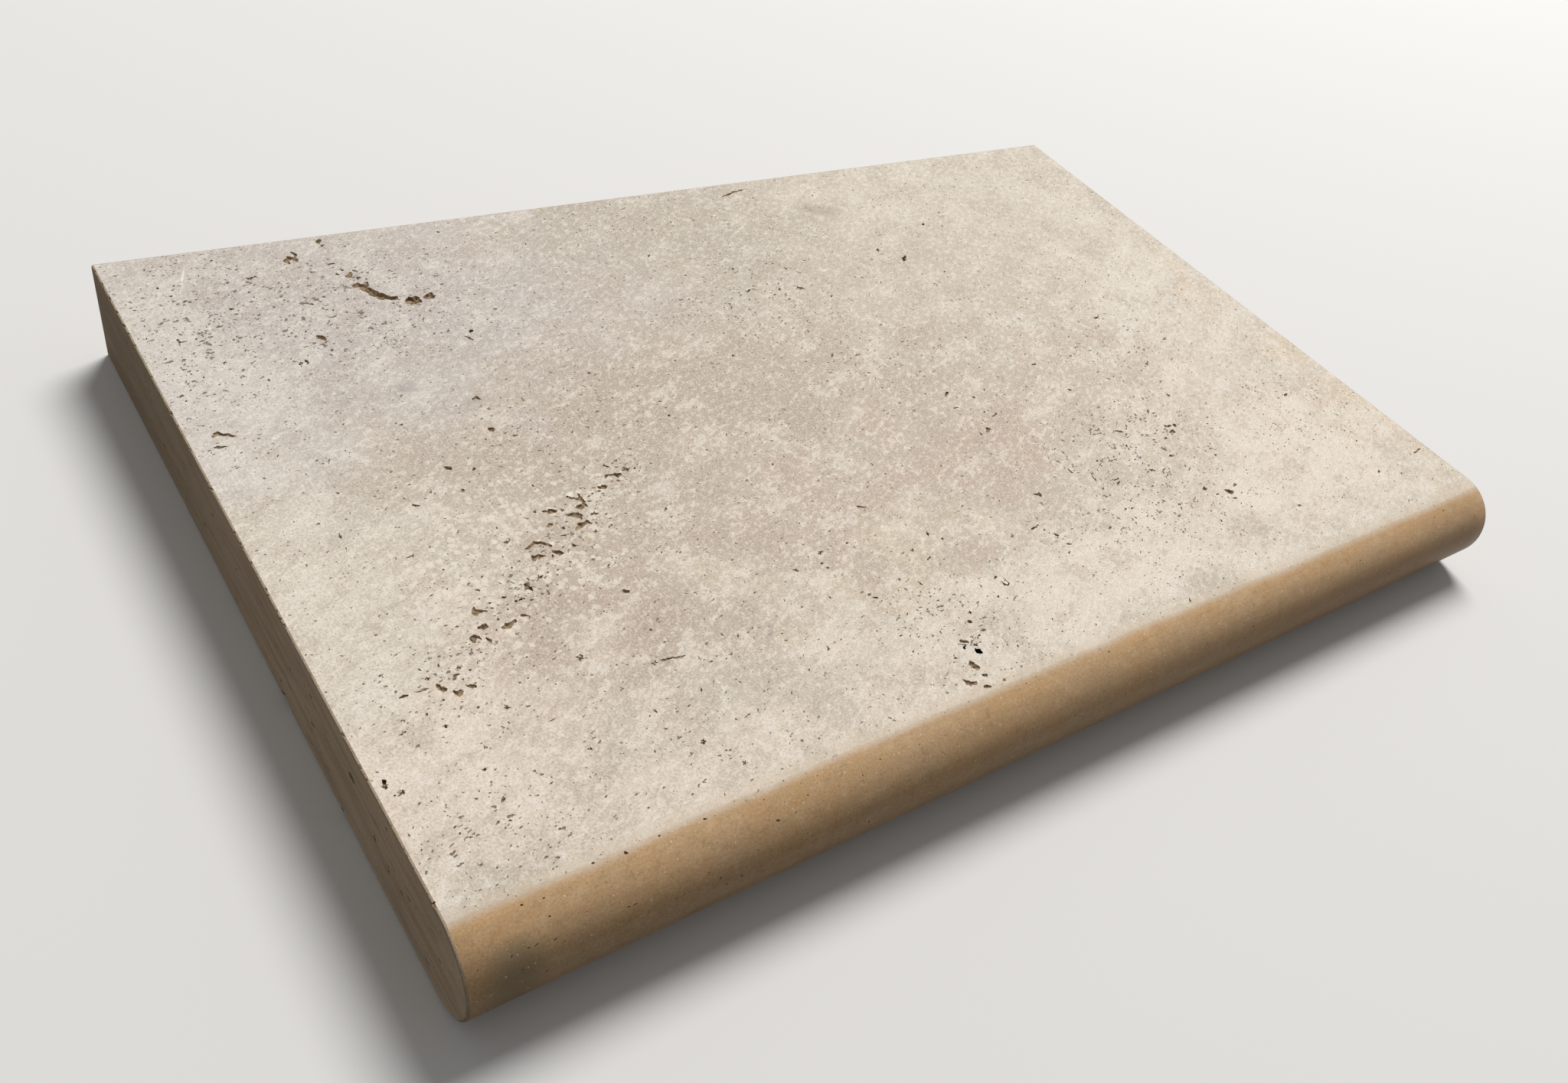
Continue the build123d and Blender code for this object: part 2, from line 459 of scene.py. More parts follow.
# %% [markdown]
# ## Voids by the hundred
#
# The smaller holes lie thick in some places and thin in others. A list of zones says where, each
# with its middle, its reach and how full it is. Seeded chance picks the spots, so every run makes
# the same slab, and a spot that would touch a void already there is passed over.

# %% Where small voids are thick
ZONES = [
    (85, 345, 95, 55, 1.0), (35, 385, 50, 30, 0.6), (20, 330, 30, 60, 0.9), (110, 160, 75, 28, 0.45),
    (45, 110, 40, 30, 0.4), (30, 45, 35, 28, 0.8), (250, 55, 38, 40, 0.7), (300, 300, 60, 55, 0.6),
    (330, 230, 60, 40, 0.35), (425, 125, 70, 40, 1.0), (400, 80, 80, 40, 0.7), (480, 200, 60, 60, 0.35),
    (545, 110, 50, 50, 0.35), (265, 375, 50, 25, 0.4), (150, 235, 60, 35, 0.35),
]
THIN_EVERYWHERE = 0.07
SMOOTH_STRIP = 29.0


def fullness(from_left, from_front):
    total = THIN_EVERYWHERE
    for x, y, reach_x, reach_y, full in ZONES:
        away = ((from_left - x) / reach_x) ** 2 + ((from_front - y) / reach_y) ** 2
        total += full * max(0.0, 1 - away)
    clump = noise.noise(Vector((from_left / 11, from_front / 7, 3.0)))
    return total * max(0.0, 0.3 + 2.2 * clump)


# %% [markdown]
# Two kinds of small void are scattered. The larger are balls like those above. The nicks are only
# five-sided cones, because there are thousands of them and a hole a millimetre wide shows no more.
# A last handful keeps to the porous vein, where the stone broke into crumbs round the strokes.

# %% Scatter the small voids over the honed top
MEDIUM_VOIDS = 120
NICKS = 3600
GRAIN_TURN = radians(24)


def scatter_top(bm, wanted, low_size, high_size, nicks):
    placed = 0
    while placed < wanted:
        x, y = rng.uniform(2, length / MM - 2), rng.uniform(21, width / MM - 2)
        near_nose = 0.3 if y < SMOOTH_STRIP else 1.0
        if rng.random() > fullness(x, y) * near_nose:
            continue
        across = low_size + (high_size - low_size) * rng.random() ** 2.4
        along = across * rng.uniform(1.2, 2.8)
        place = on_top(x, y)
        if not claim(place, along * 0.62 * MM):
            continue
        turn = GRAIN_TURN + rng.gauss(0, radians(38))
        size = (along * MM, across * MM, across * rng.uniform(1, 1.5) * MM)
        if nicks:
            add_nick(bm, place, size, turn)
        else:
            add_void(bm, place, UP, size, turn, rough=0.7)
        placed += 1


VEIN_LINE = [(38, 107), (66, 134), (96, 147), (112, 164), (130, 178), (150, 188), (168, 200)]
VEIN_CRUMBS = 260


def scatter_vein(bm, wanted):
    for _ in range(wanted):
        leg = rng.randrange(len(VEIN_LINE) - 1)
        middle = Vector(VEIN_LINE[leg]).lerp(Vector(VEIN_LINE[leg + 1]), rng.random())
        place = on_top(middle.x + rng.gauss(0, 4.5), middle.y + rng.gauss(0, 3.5))
        across = 0.5 + 1.0 * rng.random() ** 1.6
        along = across * rng.uniform(1.4, 3.4)
        if claim(place, along * KEPT_ROUND * MM):
            size = (along * MM, across * MM, across * 1.2 * MM)
            add_void(bm, place, UP, size, rng.gauss(0.0, 0.45), rough=0.7)


add_batch(cutter_bm, scatter_vein, VEIN_CRUMBS)
for _ in range(6):
    add_batch(cutter_bm, scatter_top, MEDIUM_VOIDS // 6, 0.9, 2.0, False)
for _ in range(40):
    add_batch(cutter_bm, scatter_top, NICKS // 40, 0.6, 1.3, True)
print("cutters so far:", len(cutter_bm.faces), "faces")

# %% [markdown]
# ## Voids on the nose and the sawn sides
#
# The nose has few open holes. The ends and the back show the bedding from the side, so their voids
# lie flat along it. The saw also broke small pieces out of the lower edge of the left end.

# %% Voids of the nose, the ends and the back
NOSE_VOIDS = [
    (32.7, 23.2, 1.2, 1), (25.2, 21.2, 1.4, 1.2), (32.4, 37.4, 1.2, 1.1), (23, 53.4, 1.6, 0.9),
    (25.6, 53.7, 2.4, 0.8), (32.2, 55.9, 2, 0.9), (16.8, 54, 1.8, 0.9), (19.7, 69.4, 1.1, 0.9),
    (27.8, 82.7, 1.2, 0.8), (59.5, 56.8, 1.6, 1), (62.3, 57.1, 1.8, 0.8), (123.3, 41.8, 2.4, 1.3),
    (64.8, 16.2, 2.2, 1.8), (52.8, 13.4, 1.6, 1.3), (96.7, 16.5, 2, 1.4), (78.4, 14.3, 1.4, 1),
]
NOSE_SCATTER = 120
END_VOIDS = [
    (95, 35, 5.2, 3.6), (134, 21, 3.6, 2.4), (75, 24, 3, 2), (46, 27, 3.4, 1.6), (52, 22, 2.2, 1.6),
    (58, 27, 1.6, 1.2), (40, 30, 2, 1.2), (63, 20, 1.4, 1.8), (257, 16, 3.4, 1.6), (262, 18, 1.8, 1.2),
    (352, 24, 3.2, 1.4), (322, 33, 3, 1),
]
END_NOTCHES = [(165, 1, 10, 5.4), (103.5, 0.8, 8, 3.6), (284, 0.4, 5, 2.4)]
SIDE_SCATTER = 60


def on_nose(from_left, angle):
    outward = Vector((0, -sin(angle), cos(angle)))
    return nose_axis + Vector((from_left * MM, 0, 0)) + outward * nose_radius, outward


def nose_void(bm, from_left, angle, along, across):
    place, outward = on_nose(from_left, angle)
    place -= outward * across * 0.15 * MM
    if claim(place, along * KEPT_ROUND * MM):
        add_void(bm, place, outward, (along * MM, across * MM, across * MM),
                 rng.gauss(0, radians(25)), rough=0.45)


def nose_voids(bm):
    for from_left, angle, along, across in NOSE_VOIDS:
        nose_void(bm, from_left, radians(angle), along * 0.85, across * 0.7)
    for _ in range(NOSE_SCATTER):
        across = 0.35 + 0.5 * rng.random() ** 2
        nose_void(bm, rng.uniform(3, length / MM - 3), rng.uniform(radians(14), radians(172)),
                  across * rng.uniform(1, 2.4), across)


def side_void(bm, place, outward, along, across, turn=0.0):
    if claim(place, along * KEPT_ROUND * MM):
        add_void(bm, place, outward, (along * MM, across * MM, across * 1.3 * MM), turn,
                 rough=0.5, subdivisions=2 if along > 2 else 1)


def end_voids(bm, x, outward):
    for _ in range(SIDE_SCATTER):
        across = 0.5 + 1.1 * rng.random() ** 2
        place = Vector((x, low.y + rng.uniform(20, width / MM - 4) * MM, rng.uniform(4, 46) * MM))
        side_void(bm, place, outward, across * rng.uniform(1.2, 3.0), across, rng.gauss(0, 0.15))


def left_end_marks(bm):
    for from_front, up, along, across in END_VOIDS + END_NOTCHES:
        place = Vector((low.x, low.y + from_front * MM, up * MM))
        side_void(bm, place, Vector((-1, 0, 0)), along, across)


def back_voids(bm):
    for _ in range(SIDE_SCATTER):
        across = 0.5 + 1.1 * rng.random() ** 2
        place = Vector((low.x + rng.uniform(4, length / MM - 4) * MM, high.y, rng.uniform(4, 46) * MM))
        side_void(bm, place, Vector((0, 1, 0)), across * rng.uniform(1.2, 3.0), across)


def bed_voids(bm):
    for _ in range(SIDE_SCATTER * 2):
        across = 0.6 + 1.8 * rng.random() ** 2
        place = Vector((low.x + rng.uniform(4, length / MM - 4) * MM,
                        low.y + rng.uniform(28, width / MM - 4) * MM, low.z))
        side_void(bm, place, Vector((0, 0, -1)), across * rng.uniform(1, 2.2), across,
                  rng.gauss(0, 0.6))


add_batch(cutter_bm, left_end_marks)
add_batch(cutter_bm, nose_voids)
add_batch(cutter_bm, end_voids, low.x, Vector((-1, 0, 0)))
add_batch(cutter_bm, end_voids, high.x, Vector((1, 0, 0)))
add_batch(cutter_bm, back_voids)
add_batch(cutter_bm, bed_voids)
print("all voids:", sum(map(len, held.values())), "balls,", len(cutter_bm.faces), "cutter faces")

# %% [markdown]
# ## Chipped edges
#
# However carefully an edge is rubbed down, crumbs break out of it. Small flat chips are strung
# along each sawn edge, many on the left end's top edge and fewer elsewhere.

# %% Chips along the sawn edges
CHIP_PITCH = 5.0


def chip_edge(bm, start, stop, outward, pitch):
    run = (stop - start).length / MM
    travelled = rng.uniform(0.5, pitch)
    while travelled < run - 1:
        size = 0.7 + 1.3 * rng.random() ** 3
        place = start.lerp(stop, travelled / run)
        if claim(place, size * MM):
            add_void(bm, place, outward, (size * rng.uniform(1, 2.2) * MM, size * MM, size * MM),
                     0.0 if abs(outward.y) > 0.5 else pi / 2, rough=0.6,
                     subdivisions=2 if size > 1.2 else 1)
        travelled += pitch * rng.uniform(0.35, 1.65)


def edge_chips(bm):
    inset = 0.15 * MM
    levels = ((high.z - inset, 1), (low.z + inset, -1))
    for x, out, pitch in ((low.x + inset, -1, CHIP_PITCH), (high.x - inset, 1, CHIP_PITCH * 2.5)):
        for z, up in levels:
            chip_edge(bm, Vector((x, nose_axis.y, z)), Vector((x, high.y, z)), Vector((out, 0, up)),
                      pitch)
    for z, up in levels:
        chip_edge(bm, Vector((low.x, high.y - inset, z)), Vector((high.x, high.y - inset, z)),
                  Vector((0, 1, up)), CHIP_PITCH * 2.2)


add_batch(cutter_bm, edge_chips)
print("with chips:", len(cutter_bm.faces), "cutter faces")

# %% [markdown]
# ## Cut the voids
#
# The Boolean modifier takes the cutters away from the slab in one go. Its manifold solver is quick
# on closed meshes, and material mode Transfer gives each cut wall the cutter's own material, which
# is how the voids get their brown lining.

# %% Take the voids out of the slab
slab_bm.normal_update()
slab = to_object(slab_bm, "travertine_slab")
cutters = to_object(cutter_bm, "void_cutters")
finishes = [bpy.data.materials.new(name) for name in FINISHES]
for made in (slab, cutters):
    for finish in finishes:
        made.data.materials.append(finish)
for polygon in cutters.data.polygons:
    polygon.material_index = LINING

cut = slab.modifiers.new("voids", "BOOLEAN")
cut.operation = "DIFFERENCE"
cut.solver = "MANIFOLD"
cut.material_mode = "TRANSFER"
cut.object = cutters
with_voids = evaluated_mesh(slab)
slab.modifiers.clear()
slab.data = with_voids
bpy.data.objects.remove(cutters)
print("cut slab:", len(slab.data.polygons), "faces")

# %% [markdown]
# ## Flat where it is flat, smooth where it is round
#
# Smooth shading blends the light across every edge. On the nose that is right, but on the honed
# top it would smear light round each void. So an edge stays sharp where it turns by more than a
# set angle, and wherever one of its two faces belongs to the flat top, an end, the back or the bed.

# %% Mark the sharp edges
CREASE = radians(35)


def is_flat(face):
    if face.material_index == LINING:
        return False
    return max(abs(face.normal.x), abs(face.normal.y), abs(face.normal.z)) > 0.99999


def mark_creases(mesh):
    bm = bmesh.new()
    bm.from_mesh(mesh)
    bm.normal_update()
    for face in bm.faces:
        face.smooth = True
    for edge in bm.edges:
        if len(edge.link_faces) == 2:
            one, other = edge.link_faces
            turns = one.normal.angle(other.normal, 0) > CREASE
            edge.smooth = not (turns or is_flat(one) != is_flat(other))
    print("open edges:", sum(not edge.is_manifold for edge in bm.edges),
          " volume in litres:", round(bm.calc_volume() * 1000, 3),
          " triangles:", sum(len(face.verts) - 2 for face in bm.faces))
    bm.to_mesh(mesh)
    bm.free()


mark_creases(slab.data)

# %% [markdown]
# ## Colours and nodes
#
# Colours are given as sRGB hex values, but the renderer adds light in linear values, so one
# function converts them. One more adds a shader node by its short name, sets it and links it, which
# keeps each material readable from the texture to the shader.

# %% Helpers for materials
def linear(hex_colour):
    channels = [int(hex_colour[i:i + 2], 16) / 255 for i in (1, 3, 5)]
    return [c / 12.92 if c <= 0.04045 else ((c + 0.055) / 1.055) ** 2.4 for c in channels] + [1]


def add_node(material, kind, inputs=None, **settings):
    node = material.node_tree.nodes.new("ShaderNode" + kind)
    for name, value in settings.items():
        setattr(node, name, value)
    for socket, value in (inputs or {}).items():
        if isinstance(value, bpy.types.NodeSocket):
            material.node_tree.links.new(value, node.inputs[socket])
        else:
            node.inputs[socket].default_value = value
    return node


# %% [markdown]
# Stone is built up in veils: a ground colour, then clouds, then flecks, each laid over the last
# through a mask. Noise of a given size in millimetres makes the clouds, and a fade between two of
# its levels makes a mask of them.

# %% Clouds and veils
def millimetres(material, stretch=(1, 1, 1), turn=0):
    place = add_node(material, "TexCoord").outputs["Object"]
    turned = add_node(material, "Mapping", {"Vector": place, "Rotation": (0, 0, -turn)})
    placed = add_node(material, "Mapping", {
        "Vector": turned.outputs["Vector"], "Scale": tuple(1 / (MM * factor) for factor in stretch),
    })
    return placed.outputs["Vector"]


def cloud(material, place, size, detail=2, seed=0, roughness=0.55, space="3D"):
    moved = add_node(material, "VectorMath", {0: place, 1: (seed * 31, seed * 17, 0)})
    return add_node(material, "TexNoise", {
        "Vector": moved.outputs["Vector"], "Scale": 1 / size, "Detail": detail,
        "Roughness": roughness,
    }, noise_dimensions=space).outputs["Fac"]


def fade(material, value, start, stop):
    return add_node(material, "MapRange", {
        "Value": value, "From Min": start, "From Max": stop,
    }, interpolation_type="SMOOTHSTEP").outputs["Result"]


def mottle(material, place, size, start, stop, seed=0, space="3D"):
    return fade(material, cloud(material, place, size, seed=seed, space=space), start, stop)


def weigh(material, level, layers):
    total = level
    for value, weight in layers:
        total = add_node(material, "Math", {0: value, 1: weight, 2: total},
                         operation="MULTIPLY_ADD").outputs["Value"]
    return total


def veil(material, ground, layers):
    for mask, colour, strength in layers:
        amount = weigh(material, 0, [(mask, strength)])
        over = linear(colour) if isinstance(colour, str) else colour
        mix = add_node(material, "Mix", {0: amount, 6: ground, 7: over}, data_type="RGBA")
        ground = mix.outputs[2]
    return ground


# %% [markdown]
# Cells with a chance each make flecks, pebbles and motes, and a soft ellipse makes a stain at a
# measured place. Neither looks like stone with a clean outline, so `ragged` pushes the
# coordinates about before they are read.

# %% Flecks and stains
def ragged(material, place, amount, size, space="3D"):
    push = add_node(material, "TexNoise", {
        "Vector": place, "Scale": 1 / size, "Detail": 0,
    }, noise_dimensions=space)
    centred = add_node(material, "VectorMath", {
        0: push.outputs["Color"], 1: (0.5, 0.5, 0.5),
    }, operation="SUBTRACT")
    return add_node(material, "VectorMath", {
        0: centred.outputs["Vector"], 1: (amount, amount, amount), 2: place,
    }, operation="MULTIPLY_ADD").outputs["Vector"]


def speckle(material, place, pitch, radius, share, soft=0.35, space="3D"):
    cells = add_node(material, "TexVoronoi", {"Vector": place, "Scale": 1 / pitch},
                     voronoi_dimensions=space)
    chance = add_node(material, "SeparateColor", {"Color": cells.outputs["Color"]})
    luck = add_node(material, "Math", {0: chance.outputs["Red"], 1: share})
    reach = add_node(material, "MapRange", {
        "Value": luck.outputs["Value"], "From Min": 1, "From Max": 1.4,
        "To Min": 0, "To Max": radius / pitch,
    })
    edge = add_node(material, "Math", {
        0: reach.outputs["Result"], 1: cells.outputs["Distance"],
    }, operation="SUBTRACT")
    return fade(material, edge.outputs["Value"], 0, soft * radius / pitch)


def patch(material, place, centre, reach, turn=0, core=0.2):
    middle = on_top(*centre) / MM
    local = add_node(material, "Mapping", {
        "Vector": place, "Location": (middle.x, middle.y, 0), "Rotation": (0, 0, radians(turn)),
        "Scale": (*reach, 1e6),
    }, vector_type="TEXTURE")
    away = add_node(material, "VectorMath", {0: local.outputs["Vector"]}, operation="LENGTH")
    return fade(material, away.outputs["Value"], 1, core)


# %% [markdown]
# All four finishes are one mineral, calcite, and so share its IOR of 1.49. They differ in colour,
# in roughness, in how much of the lamp they mirror and in the relief that the tools left.

# %% Start and finish a stone
STONE_IOR = 1.49


def cleared(owner):
    owner.use_nodes = True
    owner.node_tree.nodes.clear()
    return owner


def finish_stone(material, colour, roughness, height, depth, gloss):
    bump = add_node(material, "Bump", {"Height": height, "Distance": depth * MM})
    shader = add_node(material, "BsdfPrincipled", {
        "Base Color": colour, "Roughness": roughness, "IOR": STONE_IOR,
        "Specular IOR Level": gloss, "Normal": bump.outputs["Normal"],
    })
    add_node(material, "OutputMaterial", {"Surface": shader.outputs["BSDF"]})


# %% [markdown]
# ## Honed top
#
# Honing stops at a fine grit, so the top is matt and pale. Its colour is put on in two steps. First
# come wide soft tints, each at a place on the stone: mauve-grey at the back left, greenish cream
# behind the middle, pink across it, and clear cream at the right, the front and the left end. Part
# of their spread is painted light and shade: the tints at the front are lighter and those at the back
# darker, for light that is brighter towards the front. A painted picture would do that too, but a soft
# ellipse with a ragged rim can be moved and recoloured by changing one line.

# %% Tints of the honed top
FLAT = "2D"
# Front tints lighter and back tints darker: partly painted light and shade
TINTS_WITH_PAINTED_LIGHT = [
    (90, 345, 280, 160, -5, "#BDB4AD", 1), (12, 290, 60, 190, 0, "#D0C8BF", 0.95),
    (10, 150, 90, 110, 0, "#D7CDBC", 0.95), (200, 235, 170, 80, 15, "#B5A796", 0.9),
    (310, 215, 120, 55, -10, "#B7A997", 0.75), (280, 365, 140, 90, 0, "#B5AB9B", 0.9),
    (105, 118, 120, 60, 30, "#BBA998", 0.95), (210, 145, 100, 60, 0, "#BEAB99", 0.8),
    (315, 145, 150, 60, 18, "#C0AD9B", 0.95), (430, 195, 110, 32, 22, "#C6B5A5", 0.7),
    (500, 140, 150, 70, 0, "#D2C3B1", 0.7), (35, 75, 90, 70, 0, "#DDCDBB", 0.95),
    (225, 90, 100, 35, 5, "#D0C0A9", 0.8), (350, 55, 240, 55, 0, "#E0D4C3", 0.9),
    (540, 75, 140, 90, 0, "#E1D5C3", 0.9), (570, 235, 120, 140, 0, "#D8CEBE", 0.85),
    (520, 375, 190, 90, 0, "#CDC3B2", 0.8), (130, 28, 240, 24, 0, "#DACCBA", 0.8),
    (540, 20, 150, 30, 0, "#D4C9B8", 0.9), (607, 140, 30, 190, 0, "#D5C3AC", 0.8),
]

stone = cleared(finishes[HONED])
place = millimetres(stone)
ragged_place = ragged(stone, place, 90, 40, space=FLAT)
ragged_place = ragged(stone, ragged_place, 26, 9, space=FLAT)
ground = veil(stone, linear("#C5BAA8"), [
    (patch(stone, ragged_place, (x, y), (reach_x, reach_y), turn, core=0.15), colour, strength)
    for x, y, reach_x, reach_y, turn, colour, strength in TINTS_WITH_PAINTED_LIGHT
])
print(len(TINTS_WITH_PAINTED_LIGHT), "tints")

# %% [markdown]
# Then lights and darks go over the tints: cream crystals and duller mud that settled together. What
# makes it travertine is that they are mixed at every scale at once, so one sum of noises gives
# both: where it is high the stone is cream, where it is low it is dull. The real grain is 0.2 mm,
# too fine to show, and is drawn as 1 mm. Holes too small to cut are painted as dark brown pits,
# the brown of their lining and the shade inside them painted together. Each has a pale rim that is
# partly crumbled stone and partly a painted highlight for its lit wall. They gather where the small
# voids lie thick, and a bump sinks them.

# %% Lights and darks of the honed top
# Honed travertine is matt: the eye finds no highlight, only cream, mauve and brown crumbs
BEDDING_TURN = radians(32)
bedded = millimetres(stone, stretch=(1.7, 1, 1), turn=BEDDING_TURN)
broad = cloud(stone, bedded, 19, detail=3, seed=1, space=FLAT)
crumbly = cloud(stone, bedded, 8, detail=7, seed=3, roughness=0.66, space=FLAT)
small = cloud(stone, bedded, 2.6, detail=4, seed=7, roughness=0.62, space=FLAT)
grain = cloud(stone, place, 1, detail=2, seed=2, roughness=0.75, space=FLAT)
axes = add_node(stone, "SeparateXYZ", {"Vector": place})
towards_back = fade(stone, axes.outputs["Y"], -20, 110)
balance = weigh(stone, -0.885, [(broad, 0.95), (crumbly, 0.95), (small, 0.85)])
lights = fade(stone, balance, weigh(stone, 0.52, [(towards_back, -0.08)]),
              weigh(stone, 0.7, [(towards_back, 0.2)]))
darks = fade(stone, balance, 0.48, 0.2)
crumbs = fade(stone, small, 0.53, 0.62)
salt = fade(stone, grain, 0.52, 0.66)
soot = fade(stone, grain, 0.48, 0.34)

rough_place = ragged(stone, place, 0.8, 1.2, space=FLAT)
pebble_place = patch(stone, place, (95, 160), (110, 70), turn=25)
pebble_share = weigh(stone, 0, [(pebble_place, 0.8)])
pebbles = speckle(stone, rough_place, 4.2, 1.7, pebble_share, space=FLAT)
flecks = speckle(stone, rough_place, 2.2, 0.85, 0.55, soft=0.8, space=FLAT)
bright = speckle(stone, place, 17, 1.2, 0.35, space=FLAT)

pit_zones = THIN_EVERYWHERE
for x, y, reach_x, reach_y, full in ZONES:
    zone = patch(stone, place, (x, y), (reach_x, reach_y))
    pit_zones = weigh(stone, pit_zones, [(zone, full)])
clumps = mottle(stone, place, 7, 0.48, 0.7, seed=14, space=FLAT)
pit_chance = weigh(stone, 0.4, [(pit_zones, 0.5)])
pit_share = weigh(stone, 0, [(clumps, pit_chance)])
along_grain = millimetres(stone, stretch=(1.7, 1, 1), turn=GRAIN_TURN)
scratchy = cloud(stone, along_grain, 1.5, detail=2, seed=40, space=FLAT)
near_pit = weigh(stone, 0, [(scratchy, 1), (pit_share, -0.27)])
# Painted pits: the brown lining and the shade inside each small hole are painted as one dark brown
pits_and_painted_shade = fade(stone, near_pit, 0.2, 0.17)
sunk = fade(stone, near_pit, 0.24, 0.16)
# Pale rims round the painted pits: partly crumbled stone, partly a painted highlight for the lit wall of
# each hole
pit_rims_and_highlights = fade(stone, near_pit, 0.27, 0.21)

top_colour = veil(stone, ground, [
    (lights, "#E8DED1", 0.43),
    (darks, "#AE9D8F", 0.38),
    (crumbs, "#EDE5D9", 0.26),
    (salt, "#EFE7DC", 0.33),
    (soot, "#9B8A7B", 0.33),
    (pebbles, "#E7DDCC", 0.6),
    (flecks, "#EEE6D6", 0.36),
    (bright, "#F2ECDF", 0.5),
    (patch(stone, place, (131.5, 187.5), (3.4, 2.2), turn=40), "#EDE8DC", 0.75),
    (patch(stone, place, (390, 366), (20, 9), turn=-25), "#968C7F", 0.4),
    (patch(stone, place, (97, 277), (10, 7)), "#8C8680", 0.32),
    (patch(stone, place, (122, 260), (9, 6), turn=30), "#948E88", 0.3),
    (patch(stone, place, (172, 287), (24, 0.6), turn=-6), "#847C70", 0.4),
    (patch(stone, place, (34, 386), (0.8, 11), turn=-22), "#EDE7DB", 0.8),
    (pit_rims_and_highlights, "#EDE4D6", 0.38),
    (pits_and_painted_shade, "#63543F", 0.84),
])
print("honed top:", len(stone.node_tree.nodes), "nodes")

# %% [markdown]
# ## Polished nose
#
# Polish lets light into the stone, and so the same stone is golden brown and faintly glossy on the
# nose. The pale top and the golden nose meet in a line that wanders by a millimetre, about 20 mm
# back from the front. The line is partly the change of finish and partly a painted shadow edge:
# it is drawn where the hand-ground nose turns out of the light. Above it lies a smoother strip, a
# little warmer than the top, whose pale colour is partly painted light that keeps it as bright as
# the top where it curves away from the lamp.

# %% Polished travertine
# Polished travertine is deeper and warmer, with a soft sheen along the crown of the nose
SEAM_AND_SHADOW_EDGE = low.y / MM + 18.5
HONED_ROUGHNESS = 0.6
POLISHED_ROUGHNESS = 0.4

drawn_out = millimetres(stone, stretch=(12, 1, 1))
nose_clouds = mottle(stone, drawn_out, 9, 0.4, 0.62, seed=8)
golden = mottle(stone, place, 45, 0.4, 0.6, seed=31)
streaks = mottle(stone, drawn_out, 2.6, 0.35, 0.68, seed=6)
nose_blotches = cloud(stone, place, 6, detail=6, seed=12, roughness=0.68)
nose_grain = cloud(stone, place, 0.9, detail=3, seed=5, roughness=0.75)
nose_flecks = speckle(stone, ragged(stone, place, 0.6, 0.8), 2.6, 0.55, 0.45)
nose_motes = speckle(stone, ragged(stone, place, 0.6, 0.8), 3.4, 0.6, 0.3)
nose_colour = veil(stone, linear("#C5A27C"), [
    (golden, "#C9A072", 0.7),
    (nose_clouds, "#B5966F", 0.4),
    (streaks, "#CDB08B", 0.25),
    (fade(stone, nose_blotches, 0.52, 0.66), "#D6B78F", 0.5),
    (fade(stone, nose_blotches, 0.46, 0.3), "#A4845F", 0.5),
    (fade(stone, nose_grain, 0.52, 0.68), "#DBBF9A", 0.55),
    (fade(stone, nose_grain, 0.48, 0.32), "#987A55", 0.45),
    (patch(stone, place, (17, 2), (16, 9)), "#82775F", 0.6),
    # a darker brown band along the front of the nose on the right is painted shade, where the nose faces
    # away from the lamp
    (patch(stone, place, (560, 0), (300, 6)), "#A27A50", 0.5),
    (nose_flecks, "#E9D5B6", 0.75),
    (nose_motes, "#8A6B4A", 0.35),
])

wander = cloud(stone, millimetres(stone, stretch=(12, 1e6, 1e6)), 3, seed=20)
ripple = cloud(stone, place, 1.6, detail=1, seed=22)
slips = fade(stone, axes.outputs["X"], 60, 140)
past_seam_and_shadow_edge = weigh(stone, SEAM_AND_SHADOW_EDGE - 1.7, [
    (wander, 2.4), (ripple, 1), (slips, -1.6), (axes.outputs["Y"], -1),
])
# The polished finish and a painted shadow edge share this mask: its sharp rim is drawn where the nose
# turns out of the light
polish_and_painted_shade = weigh(stone, 0, [
    (fade(stone, past_seam_and_shadow_edge, -1.6, -0.9), 0.3), (fade(stone, past_seam_and_shadow_edge, -1.6, 2.4), 0.7),
])
# A smoother strip above the seam, its pale colour partly painted light where the nose begins to curve
# away from the lamp
brushed_and_painted_light = fade(stone, past_seam_and_shadow_edge, -8, -2)
stone_colour = veil(stone, top_colour, [
    (brushed_and_painted_light, "#DCCAB2", 0.5),
    (polish_and_painted_shade, nose_colour, 1),
])

stone_roughness = weigh(stone, HONED_ROUGHNESS, [
    (polish_and_painted_shade, POLISHED_ROUGHNESS - HONED_ROUGHNESS),
])
depth_left = weigh(stone, 0.3, [(polish_and_painted_shade, -0.25)])
relief = weigh(stone, 0, [(grain, 1), (small, 0.8), (sunk, -8)])
stone_height = weigh(stone, 0, [(relief, depth_left)])
finish_stone(stone, stone_colour, stone_roughness, stone_height, 0.22, gloss=0.1)
print("honed and polished stone:", len(stone.node_tree.nodes), "nodes")

# %% [markdown]
# ## Sawn sides, worn edges and void linings
#
# The saw leaves the ends and the back dull, and the bedding shows there as level streaks. The
# rubbed-down edge shows fresh pale stone. The inside of a void never met a tool: water left a
# brown, grainy crust there, but its rim broke open when the slab was honed, and is as pale as the
# top. So the lining turns from pale to brown as it goes down.

